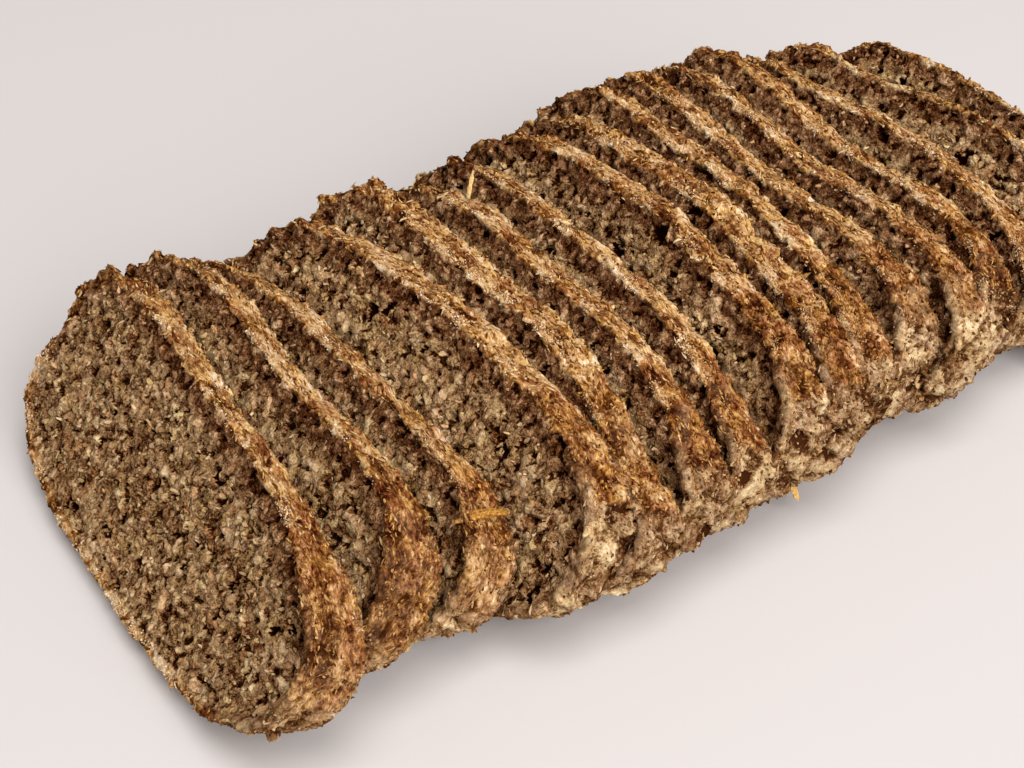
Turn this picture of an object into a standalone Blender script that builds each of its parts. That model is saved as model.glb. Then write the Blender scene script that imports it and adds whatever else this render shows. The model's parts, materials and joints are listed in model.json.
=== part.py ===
# A sliced oat bread loaf: sixteen thin slices of one low, wide loaf that lean back in a row.
# Metres, +Z up. The row runs along +X from its front slice, with the slices' left ends on +Y,
# and each slice stands on the long bottom edge of its back, which is pressed flat at z = 0.
import math

import bmesh
import bpy
from mathutils import Euler, Vector, noise

MM = 0.001

# The loaf's own section: a flat base, two bulging sides and a top that falls to the right
LOAF_WIDTH = 120 * MM
LOAF_HEIGHT = 50 * MM
TOP_FALL = 0.075

# The outline's two sides, and each pair is a value at the slice's front face and one at its back.
# "top" and "base" say how full the corners are, "bulge" how high the side reaches furthest out,
# "spread" how much further than half the width, and "tuck" how far it draws in down to the base.
LEFT_SIDE = {
    "top": (5.2, 5.2),
    "base": (3.2, 3.2),
    "bulge": (28 * MM, 28 * MM),
    "spread": (0.0, 0.0),
    "tuck": (0.0, 0.0),
}
RIGHT_SIDE = {
    "top": (2.65, 2.75),
    "base": (3.6, 3.3),
    "bulge": (23 * MM, 27 * MM),
    "spread": (-1.0 * MM, 1.8 * MM),
    "tuck": (9 * MM, 12 * MM),
}
MIDDLE_HEIGHT = 0.48

# Where the fall of a single slice's own top begins and ends, from the middle of the slice
LEFT_SHOULDER = (24 * MM, 60 * MM)
RIGHT_SHOULDER = (12 * MM, 48 * MM)
SAG_REACH = 19 * MM

SLICE_THICKNESS = 8.8 * MM
PRESSED_FLAT = 1.0 * MM

# The mesh of a slice: cells across it, cells up it, and the crags of its faces and crust
CELLS_ACROSS = 18
CELLS_UP = 7
CRUMB_DEPTH = 0.9 * MM
CRUMB_GRAIN = 8 * MM
CRUST_DEPTH = 1.3 * MM
CRUST_GRAIN = 7 * MM
CALM_BASE = 6 * MM
CENTRE = 1e-6
NOISE_STEP = Vector((1.7, 0.9, 2.3))

# Each slice, from the front of the row. "step" is how far it stands behind the one before and
# "aside" how far left of the row's line, in mm. "turn" and "lean" are in degrees. "tall" is its
# share of the loaf's height. The rest is how its own outline differs, in mm: how far its left
# shoulder, its middle and its right shoulder sink, how much further its right end reaches, and
# how much higher its top is at the back than at the front.
SLICES = (
    dict(step=0, aside=0, turn=6.5, lean=40, tall=0.975, left=0, sag=1, right=0, end=1, rise=0),
    dict(step=14.2, aside=1, turn=9, lean=40.5, tall=1.02, left=6.5, sag=2, right=-5, end=-3.5, rise=0),
    dict(step=17.4, aside=0, turn=13.5, lean=43, tall=0.885, left=4, sag=0, right=-3, end=-4.5, rise=0.5),
    dict(step=18.2, aside=-4, turn=16, lean=41, tall=1.015, left=5, sag=-1.5, right=-1.5, end=0, rise=2.5),
    dict(step=14.6, aside=-3, turn=15, lean=40.5, tall=1.01, left=-3, sag=0.5, right=10, end=1, rise=3.5),
    dict(step=13.9, aside=-1, turn=13.5, lean=40.5, tall=1.01, left=6, sag=1.5, right=5, end=-1.5, rise=2),
    dict(step=13.4, aside=2.5, turn=12.5, lean=40, tall=0.985, left=1.5, sag=0.5, right=5, end=0, rise=1.5),
    dict(step=14.4, aside=5.5, turn=10.5, lean=38, tall=1.03, left=4, sag=-3, right=-1.5, end=0, rise=2.5),
    dict(step=12.6, aside=9, turn=9.5, lean=38, tall=1, left=3, sag=-2.5, right=-1, end=2.5, rise=3.5),
    dict(step=11.6, aside=14, turn=9.5, lean=38, tall=1.01, left=-1, sag=-1, right=1, end=2.5, rise=2.5),
    dict(step=12.8, aside=13.5, turn=10, lean=38, tall=0.995, left=-3, sag=1.5, right=-3.5, end=-1, rise=2.5),
    dict(step=13.6, aside=13, turn=11.5, lean=38.5, tall=1.01, left=-1.5, sag=3, right=-0.5, end=0.5, rise=2),
    dict(step=12.9, aside=13, turn=12, lean=38.5, tall=1, left=-3.5, sag=3.5, right=1, end=-4, rise=2.5),
    dict(step=16, aside=11, turn=15, lean=39.5, tall=0.93, left=-2, sag=-1.5, right=2.5, end=-8, rise=2),
    dict(step=19.6, aside=6, turn=20, lean=40.5, tall=0.935, left=-5, sag=-3, right=-0.5, end=0, rise=1),
    dict(step=16.4, aside=0, turn=19, lean=42, tall=0.98, left=0, sag=2, right=0, end=0, rise=0),
)


def clear_scene():
    for old in list(bpy.data.objects):
        bpy.data.objects.remove(old, do_unlink=True)


def plain_material(name, colour, roughness):
    material = bpy.data.materials.new(name)
    material.use_nodes = True
    shader = material.node_tree.nodes["Principled BSDF"]
    shader.inputs["Base Color"].default_value = (*colour, 1.0)
    shader.inputs["Roughness"].default_value = roughness
    shader.inputs["Metallic"].default_value = 0.0
    return material


def crumb_material():
    return plain_material("oatCrumb", (0.25, 0.16, 0.09), 0.9)


def crust_material():
    return plain_material("oatCrust", (0.33, 0.18, 0.08), 0.8)


def ramp(value, limits):
    # How far the value is from the first limit to the second, from 0 to 1
    return min(max((value - limits[0]) / (limits[1] - limits[0]), 0.0), 1.0)


def top_height(y, slice_):
    # The height of this slice's top, at y to the left of its middle
    sinks = slice_["left"] * ramp(y, LEFT_SHOULDER) ** 1.5
    sinks += slice_["right"] * ramp(-y, RIGHT_SHOULDER) ** 1.5
    sinks += slice_["sag"] * math.exp(-((y / SAG_REACH) ** 2))
    return slice_["tall"] * (LOAF_HEIGHT + TOP_FALL * y) - sinks * MM


def outline(towards, depth, slice_):
    # The point of the slice's outline in this direction from its middle, as (left, up)
    side = LEFT_SIDE if towards[0] >= 0 else RIGHT_SIDE
    here = {name: front + (back - front) * depth for name, (front, back) in side.items()}
    fullness = here["top" if towards[1] >= 0 else "base"]
    size = (abs(towards[0]) ** fullness + abs(towards[1]) ** fullness) ** (-1 / fullness)
    out, up = abs(towards[0]) * size, towards[1] * size
    own_reach = 0.0 if towards[0] >= 0 else slice_["end"] * MM
    y = out * (LOAF_WIDTH / 2 + here["spread"] + own_reach)
    y = max(y - here["tuck"] * min(up, 0.0) ** 2, 0.0) * (1 if towards[0] >= 0 else -1)
    below = here["bulge"] * slice_["tall"]
    above = top_height(y, slice_) + slice_["rise"] * depth * MM - below
    return y, below + up * (above if up >= 0 else below)


def draw_back(mesh):
    # Draws the square grid back into a slab one unit deep, with one more row of points halfway
    drawn = bmesh.ops.extrude_face_region(mesh, geom=list(mesh.faces), use_keep_orig=True)["geom"]
    back = [item for item in drawn if isinstance(item, bmesh.types.BMVert)]
    bmesh.ops.translate(mesh, verts=back, vec=(0, 0, 1))
    through = [edge for edge in mesh.edges if edge.verts[0].co.z != edge.verts[1].co.z]
    bmesh.ops.subdivide_edges(mesh, edges=through, cuts=1, use_grid_fill=True)


def shape_slab(mesh, slice_):
    # Turns the slab into the slice: its squares become round discs that are drawn out to the
    # slice's outline, and its depth becomes the slice's thickness.
    for vert in mesh.verts:
        u, v, depth = vert.co
        middle = Vector((depth * SLICE_THICKNESS, 0, MIDDLE_HEIGHT * LOAF_HEIGHT * slice_["tall"]))
        across = u * math.sqrt(1 - v * v / 2)
        rise = v * math.sqrt(1 - u * u / 2)
        from_middle = math.hypot(across, rise)
        if from_middle < CENTRE:
            vert.co = middle
            continue
        y, z = outline((across / from_middle, rise / from_middle), depth, slice_)
        vert.co = middle.lerp(Vector((middle.x, y, z)), min(from_middle, 1.0))
    bmesh.ops.recalc_face_normals(mesh, faces=mesh.faces)


def on_crust(vert):
    return any(abs(face.normal.x) < 0.5 for face in vert.link_faces)


def roughen(mesh, number):
    # Sinks pits into both cut faces and raises crags on the crust, without leaving the slab
    own = NOISE_STEP * number
    crust = {vert for vert in mesh.verts if on_crust(vert)}
    for vert in mesh.verts:
        depth = vert.co.x / SLICE_THICKNESS
        pit = 0.5 + 0.5 * noise.noise(vert.co / CRUMB_GRAIN + own)
        move = Vector((CRUMB_DEPTH * pit * (1 - 2 * depth), 0, 0))
        if vert in crust:
            outwards = Vector((0, vert.co.y, vert.co.z - LOAF_HEIGHT / 2)).normalized()
            crag = CRUST_DEPTH * noise.noise(vert.co / CRUST_GRAIN + own)
            move += outwards * crag * ramp(vert.co.z, (0, CALM_BASE))
        vert.co += move


def press_base_flat(mesh, placed):
    # Cuts off what would reach below the surface that the slice stands on, and closes the cut.
    surface = placed.inverted() @ Vector((0, 0, 0))
    down = placed.to_3x3().inverted() @ Vector((0, 0, -1))
    everything = list(mesh.verts) + list(mesh.edges) + list(mesh.faces)
    cut = bmesh.ops.bisect_plane(
        mesh, geom=everything, plane_co=surface, plane_no=down, clear_outer=True
    )["geom_cut"]
    rim = [item for item in cut if isinstance(item, bmesh.types.BMEdge)]
    bmesh.ops.holes_fill(mesh, edges=rim, sides=0)


def paint(mesh):
    # Crumb on the two cut faces, crust all round.
    for face in mesh.faces:
        face.material_index = 0 if abs(face.normal.x) > 0.6 else 1


def make_slice(number, slice_, along, materials, loaf, collection):
    name = f"slice_{number:02d}"
    thing = bpy.data.objects.new(name, bpy.data.meshes.new(name))
    collection.objects.link(thing)
    thing.parent = loaf
    lean, turn = math.radians(slice_["lean"]), math.radians(slice_["turn"])
    lift = SLICE_THICKNESS * math.sin(lean) - PRESSED_FLAT
    thing.location = (along, slice_["aside"] * MM, lift)
    thing.rotation_euler = Euler((0, lean, turn))

    mesh = bmesh.new()
    bmesh.ops.create_grid(mesh, x_segments=CELLS_ACROSS, y_segments=CELLS_UP, size=1)
    draw_back(mesh)
    shape_slab(mesh, slice_)
    roughen(mesh, number)
    press_base_flat(mesh, thing.matrix_basis)
    bmesh.ops.triangulate(mesh, faces=mesh.faces)
    bmesh.ops.recalc_face_normals(mesh, faces=mesh.faces)
    paint(mesh)
    mesh.to_mesh(thing.data)
    mesh.free()
    for material in materials:
        thing.data.materials.append(material)
    return thing


def centre_row(loaf, slices):
    # Moves the whole row, so that the middle of its footprint is the origin.
    points = [one.matrix_basis @ vert.co for one in slices for vert in one.data.vertices]
    for axis in (0, 1):
        low, high = min(p[axis] for p in points), max(p[axis] for p in points)
        loaf.location[axis] = -(low + high) / 2


def main():
    clear_scene()
    collection = bpy.data.collections.new("slicedOatLoaf")
    bpy.context.scene.collection.children.link(collection)
    loaf = bpy.data.objects.new("loaf", None)
    collection.objects.link(loaf)
    materials = (crumb_material(), crust_material())
    slices = []
    along = 0.0
    for number, slice_ in enumerate(SLICES, start=1):
        along += slice_["step"] * MM
        slices.append(make_slice(number, slice_, along, materials, loaf, collection))
    centre_row(loaf, slices)
    bpy.context.view_layer.update()


main()
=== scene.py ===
import json
import math
import random

import bmesh
import bpy
import numpy
from mathutils import Euler, Matrix, Vector

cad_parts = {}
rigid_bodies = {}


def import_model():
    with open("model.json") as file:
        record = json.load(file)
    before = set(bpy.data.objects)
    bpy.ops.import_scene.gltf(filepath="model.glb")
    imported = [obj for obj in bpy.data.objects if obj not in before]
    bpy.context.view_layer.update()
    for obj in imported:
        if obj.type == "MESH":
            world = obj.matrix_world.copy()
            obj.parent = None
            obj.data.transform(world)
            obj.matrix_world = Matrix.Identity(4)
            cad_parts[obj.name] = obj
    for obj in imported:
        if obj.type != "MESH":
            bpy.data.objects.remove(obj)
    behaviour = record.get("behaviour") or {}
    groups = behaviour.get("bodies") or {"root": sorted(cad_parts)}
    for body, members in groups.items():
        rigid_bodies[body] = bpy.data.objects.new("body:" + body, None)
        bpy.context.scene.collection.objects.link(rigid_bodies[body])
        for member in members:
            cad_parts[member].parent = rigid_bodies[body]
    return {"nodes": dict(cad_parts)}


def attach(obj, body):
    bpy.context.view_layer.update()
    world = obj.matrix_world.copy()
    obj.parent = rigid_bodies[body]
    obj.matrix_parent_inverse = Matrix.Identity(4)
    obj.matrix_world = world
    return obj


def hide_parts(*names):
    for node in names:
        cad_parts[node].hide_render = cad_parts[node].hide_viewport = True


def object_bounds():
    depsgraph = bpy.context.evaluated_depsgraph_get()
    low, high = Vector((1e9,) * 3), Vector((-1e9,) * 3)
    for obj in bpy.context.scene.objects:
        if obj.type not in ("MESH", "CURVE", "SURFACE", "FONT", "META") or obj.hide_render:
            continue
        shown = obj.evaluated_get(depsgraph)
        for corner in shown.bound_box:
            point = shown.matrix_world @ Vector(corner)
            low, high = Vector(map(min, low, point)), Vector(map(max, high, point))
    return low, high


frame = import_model()
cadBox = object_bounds()
print("frame loaded with", len(frame["nodes"]), "slices")

mm = 0.001


class Wire:  # one socket of a node, on which maths can be written

    def __init__(self, board, socket):
        self.board = board
        self.socket = socket

    def also(self, name):  # another output of the same node
        return Wire(self.board, self.board.pick(self.socket.node.outputs, name))

    def __add__(self, other):
        return self.board.maths("ADD", self, other)

    def __radd__(self, other):
        return self.board.maths("ADD", other, self)

    def __sub__(self, other):
        return self.board.maths("SUBTRACT", self, other)

    def __rsub__(self, other):
        return self.board.maths("SUBTRACT", other, self)

    def __mul__(self, other):
        return self.board.maths("MULTIPLY", self, other)

    def __rmul__(self, other):
        return self.board.maths("MULTIPLY", other, self)

    def __truediv__(self, other):
        return self.board.maths("DIVIDE", self, other)

    def __rtruediv__(self, other):
        return self.board.maths("DIVIDE", other, self)

    def __abs__(self):
        return self.board.maths("ABSOLUTE", self)

    def __gt__(self, other):
        return self.board.maths("GREATER_THAN", self, other)

    def __lt__(self, other):
        return self.board.maths("LESS_THAN", self, other)


class Board:  # a node tree that is written one node at a time

    def __init__(self, tree):
        self.tree = tree

    def pick(self, sockets, name):
        if isinstance(name, int):
            return sockets[name]
        return next(s for s in sockets if s.enabled and name in (None, s.name))

    def add(self, kind, settings=None, values=None, out=None):
        node = self.tree.nodes.new(kind)
        for name, value in (settings or {}).items():
            if name == "stops":
                self.setStops(node.color_ramp, value)
            else:
                setattr(node, name, value)
        for name, value in (values or {}).items():
            socket = self.pick(node.inputs, name)
            for one in value if isinstance(value, list) else [value]:
                if isinstance(one, Wire):
                    self.tree.links.new(one.socket, socket)
                else:
                    socket.default_value = one
        return Wire(self, self.pick(node.outputs, out)) if node.outputs else node

    def setStops(self, ramp, stops):  # stops are (place, colour)
        while len(ramp.elements) < len(stops):
            ramp.elements.new(1.0)
        for element, (place, colour) in zip(ramp.elements, stops):
            element.position = place
            element.color = (*colour, 1.0)

    def maths(self, operation, *values):
        return self.add("ShaderNodeMath", {"operation": operation}, dict(enumerate(values)))

    def vector(self, operation, *values, out=None):
        return self.add("ShaderNodeVectorMath", {"operation": operation}, dict(enumerate(values)), out)

    def scaled(self, vector, factor):
        return self.add("ShaderNodeVectorMath", {"operation": "SCALE"}, {"Vector": vector, "Scale": factor})

    def noise(self, vector, size, detail=2.0, roughness=0.5, out="Fac"):
        values = {"Vector": vector, "Scale": 1 / size, "Detail": detail, "Roughness": roughness}
        return self.add("ShaderNodeTexNoise", None, values, out)

    def cells(self, vector, size, feature="F1", out="Distance"):
        values = {"Vector": vector, "Scale": 1 / size}
        return self.add("ShaderNodeTexVoronoi", {"feature": feature}, values, out)

    def step(self, value, low, high):  # an eased step, 0 at low and 1 at high
        values = {"Value": value, "From Min": low, "From Max": high}
        return self.add("ShaderNodeMapRange", {"interpolation_type": "SMOOTHSTEP"}, values)

    def blend(self, share, first, second):  # two colours
        return self.add("ShaderNodeMix", {"data_type": "RGBA"}, {"Factor": share, "A": first, "B": second})

    def most(self, first, second):
        return self.maths("MAXIMUM", first, second)

    def kept(self, name, kind="FLOAT"):  # a value that the geometry carries
        return self.add("GeometryNodeInputNamedAttribute", {"data_type": kind}, {"Name": name})

    def drawn(self, low, high, seed, kind="FLOAT"):  # a random value for each point
        values = {"Min": low, "Max": high, "Seed": seed}
        return self.add("FunctionNodeRandomValue", {"data_type": kind}, values)

    def parts(self, vector):
        x = self.add("ShaderNodeSeparateXYZ", None, {0: vector}, "X")
        return x, x.also("Y"), x.also("Z")


def linear(*seen):  # a colour seen on screen, 0 to 255, as a shader's colour
    shares = [value / 255 for value in seen]
    return [share / 12.92 if share <= 0.04045 else ((share + 0.055) / 1.055) ** 2.4 for share in shares]


def weighed(weights, **values):  # the base, and each value by its weight, as one sum
    total = weights["base"]
    for name, value in values.items():
        total = total + value * weights[name]
    return total


# Where the slices stand, as in the part: steps from each slice to the next and asides to its
# left in mm, turns and leans in degrees. "open" is how coarse and open a slice's crumb is.
row = {
    "start": (-133.35 * mm, -9.33 * mm),
    "steps": (0, 14.2, 17.4, 18.2, 14.6, 13.9, 13.4, 14.4, 12.6, 11.6, 12.8, 13.6, 12.9, 16.0, 19.6, 16.4),
    "asides": (0, 1, 0, -4, -3, -1, 2.5, 5.5, 9, 14, 13.5, 13, 13, 11, 6, 0),
    "turns": (6.5, 9, 13.5, 16, 15, 13.5, 12.5, 10.5, 9.5, 9.5, 10, 11.5, 12, 15, 20, 19),
    "leans": (40, 40.5, 43, 41, 40.5, 40.5, 40, 38, 38, 38, 38, 38.5, 38.5, 39.5, 40.5, 42),
    "open": (0.56, 0.52, 0.5, 0.7, 0.4, 0.4, 0.4, 0.8, 0.45, 0.4, 0.4, 0.4, 0.4, 1.0, 1.0, 1.0),
    "thickness": 8.8 * mm,
    "pressedFlat": 1.0 * mm,
}
sliceCount = len(row["steps"])


def settled(name, mesh):  # the edited mesh as a finished one
    data = bpy.data.meshes.new(name)
    mesh.to_mesh(data)
    mesh.free()
    return data


def placeOf(number):  # the matrix from a slice's own frame, front face at x = 0, to the row's
    lean, turn = math.radians(row["leans"][number]), math.radians(row["turns"][number])
    along = row["start"][0] + sum(row["steps"][: number + 1]) * mm
    aside = row["start"][1] + row["asides"][number] * mm
    lift = row["thickness"] * math.sin(lean) - row["pressedFlat"]
    return Matrix.Translation((along, aside, lift)) @ Euler((0, lean, turn)).to_matrix().to_4x4()


def show(name, mesh):  # a finished piece, at the origin
    thing = bpy.data.objects.new(name, mesh)
    bpy.context.scene.collection.objects.link(thing)
    return thing


def plain(thing):  # the object as its modifiers leave it, as a plain mesh
    graph = bpy.context.evaluated_depsgraph_get()
    graph.update()
    return bpy.data.meshes.new_from_object(thing.evaluated_get(graph))


def newTree(name, sizes):  # a geometry tree with one named input for each size
    tree = bpy.data.node_groups.new(name, "GeometryNodeTree")
    tree.interface.new_socket("Geometry", in_out="INPUT", socket_type="NodeSocketGeometry")
    for label, value in sizes.items():
        kinds = {int: "NodeSocketInt", float: "NodeSocketFloat", tuple: "NodeSocketVector"}
        socket = tree.interface.new_socket(label, in_out="INPUT", socket_type=kinds[type(value)])
        socket.default_value = value
    tree.interface.new_socket("Geometry", in_out="OUTPUT", socket_type="NodeSocketGeometry")
    board = Board(tree)
    given = board.add("NodeGroupInput")
    return board, {label: given.also(label) for label in ("Geometry", *sizes)}


def giveTree(thing, tree, values):  # runs the tree on the object with these values
    modifier = thing.modifiers.new(tree.name, "NODES")
    modifier.node_group = tree
    for item in tree.interface.items_tree:
        if item.in_out == "INPUT" and item.name in values:
            modifier[item.identifier] = values[item.name]


# The slices' relief. Every depth is in metres, and the larger "Openness", the more holes.
relief = {
    "voxel": 0.62 * mm,
    "frontVoxel": 0.42 * mm,
    "soften": 3,
    "softenFactor": 0.5,
    "sizes": {
        "Shift": (0.0, 0.0, 0.0),
        "Thick axis": (1.0, 0.0, 0.0),
        "Number": 0.0,
        "Whole front": 0.0,
        "Whole back": 0.0,
        "Openness": 0.3,
        "Grain depth": 0.65 * mm,
        "Rough depth": 3.8 * mm,
        "Pit depth": 0.8 * mm,
        "Clump depth": 1.2 * mm,
        "Pore depth": 1.9 * mm,
        "Flake depth": 1.15 * mm,
        "End depth": 2.4 * mm,
        "Arris depth": 3.0 * mm,
        "Corner depth": 9.0 * mm,
        "Swell": 1.8 * mm,
    },
}


def storeAll(board, body, measures, kind="FLOAT"):
    for name, value in measures.items():
        settings = {"data_type": kind, "domain": "POINT"}
        values = {"Geometry": body, "Name": name, "Value": value}
        body = board.add("GeometryNodeStoreNamedAttribute", settings, values)
    return body


def plates(board, place, stretch, size):  # tilted flakes, as a height in shares of a flake
    place = board.vector("MULTIPLY", place, stretch)
    plate = board.cells(place, size)
    slope = board.vector("SUBTRACT", plate.also("Color"), (0.5, 0.5, 0.5))
    offset = board.vector("SUBTRACT", place, plate.also("Position"))
    height = board.vector("DOT_PRODUCT", offset, slope, out="Value") / size
    return height, board.parts(plate.also("Color"))[2]


def drift(board, place, size):  # a direction that wanders with the place
    return board.vector("SUBTRACT", board.noise(place, size, out="Color"), (0.5, 0.5, 0.5))


# The crumb's grains and pores, from a point's place: the same for the shape and for the colour.
# Sizes are metres, pairs are where an eased step starts and ends, and grains are drawn out
# "along" the way they lie.
crumb = {
    "wander": 2.2 * mm,
    "wanderSize": 3.5 * mm,
    "ragged": 1.8 * mm,
    "raggedSize": 0.9 * mm,
    "grain": 2.5 * mm,
    "along": 0.55,
    "aside": 1.2,
    "laySize": 5 * mm,
    "layStep": (0.49, 0.51),
    "fineGrain": 1.2 * mm,
    "mixSize": 4 * mm,
    "mixStep": (0.42, 0.58),
    "fineShare": 0.6,
    "gapStep": (0.16, 0.0),
    "fineGapStep": (0.14, 0.0),
    "gapLoss": 0.5,
    "fineGap": 0.8,
    "rough": 3.0 * mm,
    "pit": 2.4 * mm,
    "pitShift": (0.05, 0.02, 0.07),
    "pitStep": (0.6, 0.67),
    "openPits": 0.03,
    "domeStep": (0.1, 0.8),
    "dome": 0.6,
    "fineDome": 0.25,
    "uneven": 0.35,
    "holeWander": 4 * mm,
    "holeSpacing": 5.5 * mm,
    "holeReach": 3.4 * mm,
    "rareHoles": 0.74,
    "openHoles": 0.3,
}


def crumbMap(board, rest, openness):
    wander = drift(board, rest, crumb["wanderSize"])
    warped = board.vector("ADD", rest, board.scaled(wander, crumb["wander"]))
    ragged = drift(board, rest, crumb["raggedSize"])
    warped = board.vector("ADD", warped, board.scaled(ragged, crumb["ragged"]))
    lay = board.step(board.noise(rest, crumb["laySize"], detail=1.0), *crumb["layStep"])
    turned = lay * (crumb["aside"] - crumb["along"])  # some patches of grains lie upright
    stretch = {"X": 1.0, "Y": crumb["along"] + turned, "Z": crumb["aside"] - turned}
    laid = board.vector("MULTIPLY", warped, board.add("ShaderNodeCombineXYZ", None, stretch))
    coarse = board.cells(laid, crumb["grain"])
    tone, height, hue = board.parts(coarse.also("Color"))
    fine = board.cells(warped, crumb["fineGrain"])
    fineTone, fineHue, _ = board.parts(fine.also("Color"))
    mixed = board.step(board.noise(rest, crumb["mixSize"], detail=1.0), *crumb["mixStep"])
    gap = board.step(board.cells(laid, crumb["grain"], "DISTANCE_TO_EDGE"), *crumb["gapStep"])
    fineGap = board.step(board.cells(warped, crumb["fineGrain"], "DISTANCE_TO_EDGE"), *crumb["fineGapStep"])
    gap = gap * (1 - mixed * crumb["gapLoss"]) + fineGap * mixed * crumb["fineGap"]
    holePlace = board.vector("ADD", warped, board.scaled(wander, crumb["holeWander"]))
    hole = board.cells(holePlace, crumb["holeSpacing"])
    chance = board.parts(hole.also("Color"))[0] + openness * crumb["openHoles"]
    reach = board.most(chance - crumb["rareHoles"], 0.0)
    rough = board.noise(warped, crumb["rough"], detail=3.0, roughness=0.6)
    pits = board.noise(board.vector("ADD", warped, crumb["pitShift"]), crumb["pit"], detail=1.0)
    pitFrom, pitTo = (end - openness * crumb["openPits"] for end in crumb["pitStep"])
    share = crumb["fineShare"]
    dome = (1 - board.step(coarse, *crumb["domeStep"])) * crumb["dome"] + (1 - fine) * crumb["fineDome"]
    return {
        "warped": warped,
        "gap": gap,
        "rough": rough - 0.5,
        "pits": board.step(pits, pitFrom, pitTo),
        "tone": tone * (1 - mixed * share) + fineTone * mixed * share,
        "hue": hue * (1 - mixed * share) + fineHue * mixed * share,
        "dome": dome + height * crumb["uneven"],
        "hole": reach * crumb["holeReach"] - hole * crumb["holeSpacing"],
    }


# Where one kind of surface gives way to the next, each as the start and the end of an eased step.
# In a slice's own frame y runs to its left and z up, in metres. "Facing" is how squarely a
# surface looks along the slice's thickness, and "in" is how far inside its rim it lies.
zones = {
    "crustFacing": (0.93, 0.72),
    "backAcross": (0.35, 0.65),
    "endsAside": (34 * mm, 44 * mm),
    "upperUp": (12 * mm, 18 * mm),
    "frontSeenIn": (26 * mm, 20 * mm),
    "backSeenIn": (8 * mm, 5 * mm),
    "crustSeenUp": (4 * mm, 9 * mm),
    "crustSeenAside": (24 * mm, 36 * mm),
    "rightEnd": (-38 * mm, -50 * mm),
    "swellIn": (5 * mm, 0.5 * mm),
    "faceEnd": (-44 * mm, -54 * mm),
    "faceEndFacing": (0.8, 0.95),
    "endSideways": (0.4, 0.75),
    "brownedNumber": (3.0, 2.0),
    "brownedUp": (12 * mm, 26 * mm),
    "outerAside": (30 * mm, 46 * mm),
    "outerLow": (8 * mm, 2 * mm),
    "rimIn": (0.0, -0.6 * mm),
    "bakedIn": (8 * mm, 3.5 * mm),
    "bakedUp": (14 * mm, 30 * mm),
    "right": (-26 * mm, -42 * mm),
    "arrisFrom": (0.25, 0.5),
    "arrisTo": (0.97, 0.85),
    "cornerAside": (34 * mm, 46 * mm),
    "cornerUp": (20 * mm, 32 * mm),
}
thinFacing = 0.6  # below it a face belongs to the band around the slice

# How wide and how torn the crust's rim is on the faces, in mm, and how strong two zones are
rim = {
    "width": 1.4,
    "widerRight": 1.3,
    "widerOuter": 1.4,
    "fineSize": 1.6,
    "fineTear": 2.2,
    "broadSize": 5,
    "broadTear": 2.6,
    "faceEnd": 0.7,
    "browned": 0.8,
}

# The shares of each kind of relief, with the sizes of its forms in metres
crumbForm = {
    "clumpSize": 7 * mm,
    "roughMiddle": 0.08,
    "poreStep": (0.0, 0.5 * mm),
    "poreIn": (1.0 * mm, 2.4 * mm),
}
crustForm = {
    "flake": 2.5 * mm,
    "flakeStretch": (1.0, 0.5, 0.5),
    "endFlake": 6.0 * mm,
    "endStretch": (0.9, 1.0, 1.0),
    "cragSize": 3.5 * mm,
    "crackSize": 5 * mm,
    "crackStep": (0.6, 0.7),
    "topFlake": 1.3,
    "topCrag": 1.7,
    "endLarge": 1.4,
    "endSmall": 0.4,
    "endCrag": 1.3,
    "endCrack": 0.6,
    "drop": 0.1,
    "sunkStep": (-0.2 * mm, -1.1 * mm),
}
tornForm = {
    "arrisSize": 2.4 * mm,
    "arrisMiddle": 0.55,
    "cornerSize": 6 * mm,
    "cornerMiddle": 0.56,
    "cornerCrust": 0.7,
    "cornerCrumb": 0.3,
}


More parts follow.
